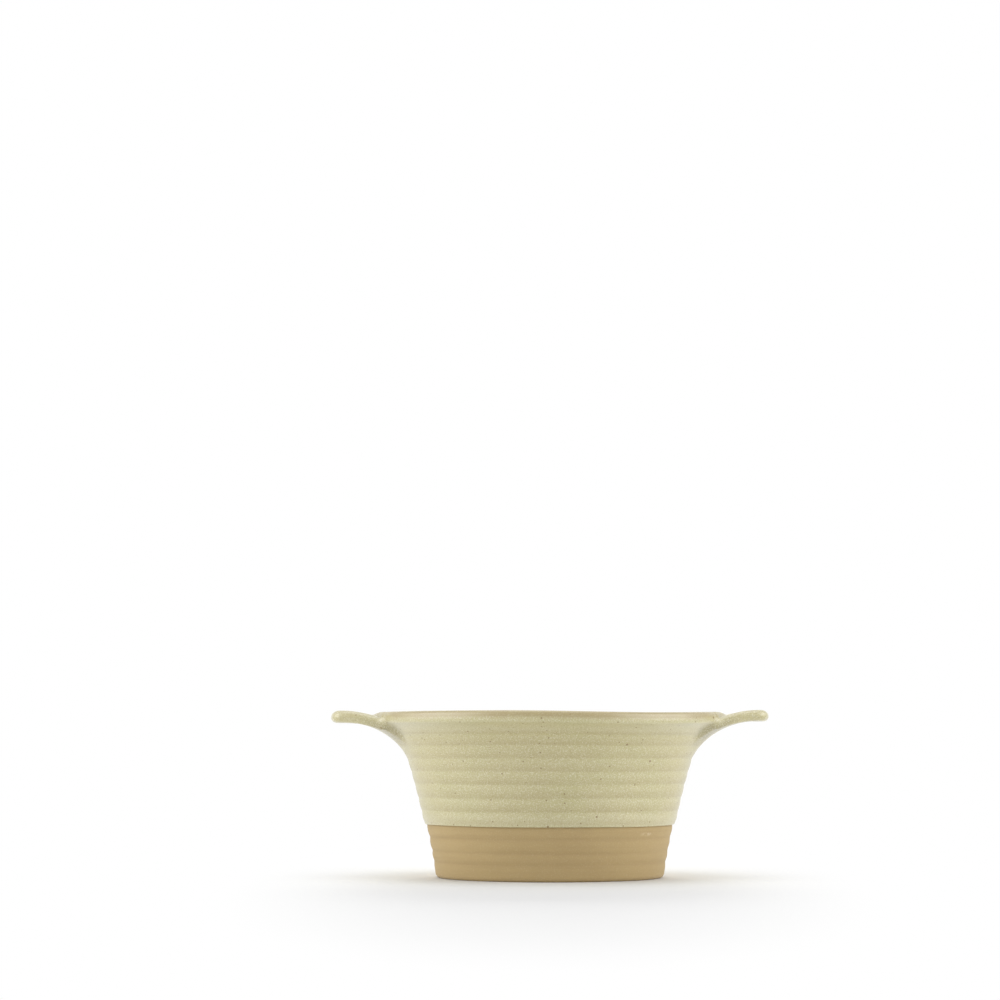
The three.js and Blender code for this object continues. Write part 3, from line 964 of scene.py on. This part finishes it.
# Math node of a kind on two sockets, or on a socket and a number, held between 0 and 1
def combine(tree, kind, first, second):
    node = addNode(tree, "ShaderNodeMath", {"operation": kind, "use_clamp": True}, {0: first, 1: second})
    return node.outputs[0]


# Colour blended towards another by a mask times a share; sockets 6, 7 and 2 are the node's colours
def tint(tree, mask, base, colour, share=1.0):
    if share != 1.0:
        mask = combine(tree, "MULTIPLY", mask, share)
    if isinstance(base, tuple):
        base = (*base, 1.0)
    node = addNode(tree, "ShaderNodeMix", {"data_type": "RGBA"}, {"Factor": mask, 6: base, 7: (*colour, 1.0)})
    return node.outputs[2]


# Noise of a scale and a detail
def noiseHeight(tree, place, scale, detail):
    noise = addNode(tree, "ShaderNodeTexNoise", inputs={"Vector": place, "Scale": scale, "Detail": detail})
    return noise.outputs["Fac"]


# Noise turned into a 0 to 1 mask by a smooth step between two levels
def noiseMask(tree, place, scale, low, high, detail):
    return mapped(tree, noiseHeight(tree, place, scale, detail), {"From Min": low, "From Max": high})


# Specks: spots within a radius of a cell's centre, full within a core of it, in the cells over a level
def speckMask(tree, place, scale, radius, level, core=0.55):
    cells = addNode(tree, "ShaderNodeTexVoronoi", inputs={"Vector": place, "Scale": scale, "Randomness": 1.0})
    spot = mapped(tree, cells.outputs["Distance"], {"From Min": radius, "From Max": radius * core})
    split = addNode(tree, "ShaderNodeSeparateColor", inputs={"Color": cells.outputs["Color"]})
    chosen = combine(tree, "GREATER_THAN", split.outputs["Red"], level)
    return combine(tree, "MULTIPLY", spot, chosen)


# Bump of a shader from a noise's height
def addBump(tree, shader, place, scale, detail, strength, depth):
    height = noiseHeight(tree, place, scale, detail)
    bump = addNode(tree, "ShaderNodeBump", inputs={"Height": height, "Strength": strength, "Distance": depth})
    tree.links.new(bump.outputs["Normal"], shader.inputs["Normal"])


# Glaze: a ground with soft clouds, tan where it is thin and as painted shade on the ribs' lower parts, darker
# on the worn rim, painted shade in the corners under the lugs, whiter where it is pale and as painted light
# under the lip and on the lugs' tops, with a fine grain of pale flecks and tan shade, and iron specks
def makeGlazeMaterial(name):
    look = glazeFinish
    ground = look["grounds"][name]
    material, tree, shader, place = startMaterial(name, look["shader"])
    # thin also carries the painted shade on the ribs' lower parts
    thin = pieceValue(tree, "thin")
    clouds = noiseMask(tree, place, *look["clouds"])
    colour = tint(tree, clouds, ground["cream"], ground["green"], look["cloudShare"])
    patches = combine(tree, "ADD", noiseMask(tree, place, *look["patches"]), look["patchLeast"])
    colour = tint(tree, combine(tree, "MULTIPLY", thin, patches), colour, look["tan"])
    worn = mapped(tree, thin, {"From Min": look["wornFrom"], "From Max": 1.0}, "LINEAR")
    colour = tint(tree, worn, colour, look["rim"], look["wornShare"])
    # pale holds paler glaze at the film's edge and painted light under the lip and on the lugs' tops
    colour = tint(tree, pieceValue(tree, "pale"), colour, look["fleckAndLight"], look["paleAndLightShare"])
    # painted shade: darker olive colour in the corners under the lugs
    colour = tint(tree, pieceValue(tree, "lugShade"), colour, look["lugShadeColour"])
    grained = mapped(tree, thin, {"To Min": look["grainThick"], "To Max": look["grainThin"]}, "LINEAR")
    flecks = combine(tree, "MULTIPLY", noiseMask(tree, place, *look["grain"]), grained)
    colour = tint(tree, flecks, colour, look["fleckAndLight"])
    shade = noiseMask(tree, place, *look["shade"])
    colour = tint(tree, shade, colour, look["tan"], look["shadeShare"])
    small = speckMask(tree, place, *look["smallSpecks"])
    large = speckMask(tree, place, *look["largeSpecks"])
    specks = combine(tree, "MAXIMUM", small, large)
    colour = tint(tree, specks, colour, look["iron"], look["speckShare"])
    tree.links.new(colour, shader.inputs["Base Color"])
    addBump(tree, shader, place, *look["peel"])
    return material


# Bare clay: a body with darker clouds, painted shade in the grooves, fine turning lines and spots, pale grit,
# and a scuff where a ball about its place, stretched to its size, meets a grain
def makeClayMaterial(name):
    look = clayFinish
    material, tree, shader, place = startMaterial(name, look["shader"])
    clouds = noiseMask(tree, place, *look["clouds"])
    colour = tint(tree, clouds, look["body"], look["dark"], look["cloudShare"])
    # painted shade in the grooves
    colour = tint(tree, pieceValue(tree, "grooveShade"), colour, look["dark"], look["grooveShadeShare"])
    grit = noiseMask(tree, place, *look["grit"])
    colour = tint(tree, grit, colour, look["pale"], look["gritShare"])
    stretched = addNode(tree, "ShaderNodeMapping", inputs={"Vector": place, "Scale": look["ringStretch"]})
    rings = noiseMask(tree, stretched.outputs["Vector"], *look["rings"])
    colour = tint(tree, rings, colour, look["dark"], look["ringShare"])
    spots = speckMask(tree, place, *look["spots"])
    colour = tint(tree, spots, colour, look["dark"], look["spotShare"])
    scuff = addNode(tree, "ShaderNodeMapping", inputs={
        "Vector": place,
        "Location": tuple(-at / size for at, size in zip(look["scuffPlace"], look["scuffSize"])),
        "Scale": tuple(1 / size for size in look["scuffSize"]),
    })
    ball = addNode(tree, "ShaderNodeTexGradient", {"gradient_type": "SPHERICAL"},
                   {"Vector": scuff.outputs["Vector"]})
    mark = combine(tree, "MULTIPLY", ball.outputs["Fac"], noiseMask(tree, place, *look["scuffGrain"]))
    colour = tint(tree, mark, colour, look["pale"], look["scuffShare"])
    tree.links.new(colour, shader.inputs["Base Color"])
    addBump(tree, shader, place, *look["tooth"])
    return material


clayMaterial = makeClayMaterial("bare clay")
outerPiece.data.materials.append(makeGlazeMaterial("speckled glaze"))
# inside film: the same glaze with a greyer ground as painted reflection
innerPiece.data.materials.append(makeGlazeMaterial("inner glaze with painted reflection"))
for piece in (bowlPiece, leftLug, rightLug):
    piece.data.materials.append(clayMaterial)
print("materials made")

for piece, node, finish in (
    (outerPiece, "outside_glaze", "speckled_glaze"),
    (innerPiece, "inside_glaze", "speckled_glaze"),
    (bowlPiece, "clay_body", "bare_clay"),
    (leftLug, "left_lug", "bare_clay"),
    (rightLug, "right_lug", "bare_clay"),
):
    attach(piece, "root")
    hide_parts(node)
print("pieces on the frame")


# Studio in metres: white floor that fades into white, soft lights at both sides, behind and above

studio = {
    "floorSize": 8.0,
    "floorColour": 0.9,  # as light bounces off it
    "seenColour": 0.74,  # as the camera sees it
    "clearFrom": 0.2,  # fade to white on an oval
    "clearTo": 0.5,
    "clearSides": 4.0,
    "worldLevel": 0.61,
    "cameraDistance": 1.131,
    "cameraHeight": 0.0506,
    "lens": 100.0,
    "sensor": 36.0,
    "turnLeft": 1.019,
    "turnUp": 5.172,
}
# Each aims at a height on the dish's axis
lamps = {
    "left light": {"place": (-0.8, -0.2, 0.3), "aim": 0.04, "size": (0.85, 0.75), "power": 3.9},
    "right light": {"place": (0.8, -0.2, 0.3), "aim": 0.04, "size": (0.85, 0.75), "power": 3.9},
    "back light": {"place": (0.0, 1.0, 0.5), "aim": 0.03, "size": (0.9, 0.4), "power": 9.0, "gloss": False},
    "top light": {"place": (0.0, 0.0, 0.95), "aim": 0.05, "size": (0.8, 0.6), "power": 2.0},
}


# Grey of a level as a colour with alpha
def grey(level):
    return (level, level, level, 1.0)


# 1 on the rays that show a background: from the camera, mirrored or through glass
def showingRay(tree):
    path = addNode(tree, "ShaderNodeLightPath")
    ray = combine(tree, "MAXIMUM", path.outputs["Is Camera Ray"], path.outputs["Is Glossy Ray"])
    return combine(tree, "MAXIMUM", ray, path.outputs["Is Transmission Ray"])


# Two shaders blended by a factor
def mixShaders(tree, factor, first, second):
    node = addNode(tree, "ShaderNodeMixShader", inputs={"Fac": factor, 1: first, 2: second})
    return node.outputs["Shader"]


# Floor: bounces light as matt white, and is seen as a tone that takes the dish's shadow and turns to plain
# white with the distance, measured on an oval
def makeFloor():
    half = studio["floorSize"] / 2
    corners = [(-half, -half, 0.0), (half, -half, 0.0), (half, half, 0.0), (-half, half, 0.0)]
    mesh = bpy.data.meshes.new("floor")
    mesh.from_pydata(corners, [], [(0, 1, 2, 3)])
    floor = bpy.data.objects.new("floor", mesh)
    bpy.context.scene.collection.objects.link(floor)
    matt = {"Base Color": grey(studio["floorColour"]), "Roughness": 1.0, "Specular IOR Level": 0.0}
    material, tree, shader, place = startMaterial("white floor", matt)
    lit = addNode(tree, "ShaderNodeBsdfDiffuse", inputs={"Color": grey(studio["seenColour"])})
    white = addNode(tree, "ShaderNodeEmission", inputs={"Strength": 1.0})
    narrow = (studio["clearSides"], 1.0, 1.0)
    oval = addNode(tree, "ShaderNodeMapping", inputs={"Vector": place, "Scale": narrow})
    distance = addNode(tree, "ShaderNodeVectorMath", {"operation": "LENGTH"}, {0: oval.outputs["Vector"]})
    fade = {"From Min": studio["clearFrom"], "From Max": studio["clearTo"]}
    clear = mapped(tree, distance.outputs["Value"], fade)
    seen = mixShaders(tree, clear, lit.outputs["BSDF"], white.outputs["Emission"])
    shown = mixShaders(tree, showingRay(tree), shader.outputs["BSDF"], seen)
    tree.links.new(shown, tree.nodes["Material Output"].inputs["Surface"])
    mesh.materials.append(material)


# World: a soft level of white light on the dish, and plain white where it is seen
def makeWorld():
    world = bpy.data.worlds.new("white room")
    world.use_nodes = True
    tree = world.node_tree
    tree.nodes.clear()
    levels = [addNode(tree, "ShaderNodeBackground", inputs={"Color": grey(1.0), "Strength": strength})
              for strength in (studio["worldLevel"], 1.0)]
    soft, white = (level.outputs["Background"] for level in levels)
    shown = mixShaders(tree, showingRay(tree), soft, white)
    addNode(tree, "ShaderNodeOutputWorld", inputs={"Surface": shown})
    bpy.context.scene.world = world


# Soft rectangular lamp at a place, turned so that its beam runs to its aim
def addSoftLight(name, plan):
    lamp = bpy.data.lights.new(name, "AREA")
    lamp.shape = "RECTANGLE"
    lamp.size, lamp.size_y = plan["size"]
    lamp.energy = plan["power"]
    holder = bpy.data.objects.new(name, lamp)
    bpy.context.scene.collection.objects.link(holder)
    holder.location = plan["place"]
    beam = Vector((0.0, 0.0, plan["aim"])) - holder.location
    holder.rotation_euler = beam.to_track_quat("-Z", "Y").to_euler()
    holder.visible_glossy = plan.get("gloss", True)


# Camera straight in front, level and then turned up and to the left
def makeCamera():
    lens = bpy.data.cameras.new("camera")
    lens.lens = studio["lens"]
    lens.sensor_width = studio["sensor"]
    camera = bpy.data.objects.new("camera", lens)
    bpy.context.scene.collection.objects.link(camera)
    camera.location = (0.0, -studio["cameraDistance"], studio["cameraHeight"])
    camera.rotation_euler = (math.radians(90.0 + studio["turnUp"]), 0.0, math.radians(studio["turnLeft"]))
    bpy.context.scene.camera = camera


makeFloor()
makeWorld()
for name, plan in lamps.items():
    addSoftLight(name, plan)
makeCamera()
bpy.context.scene.view_settings.view_transform = "Standard"
print("studio set")
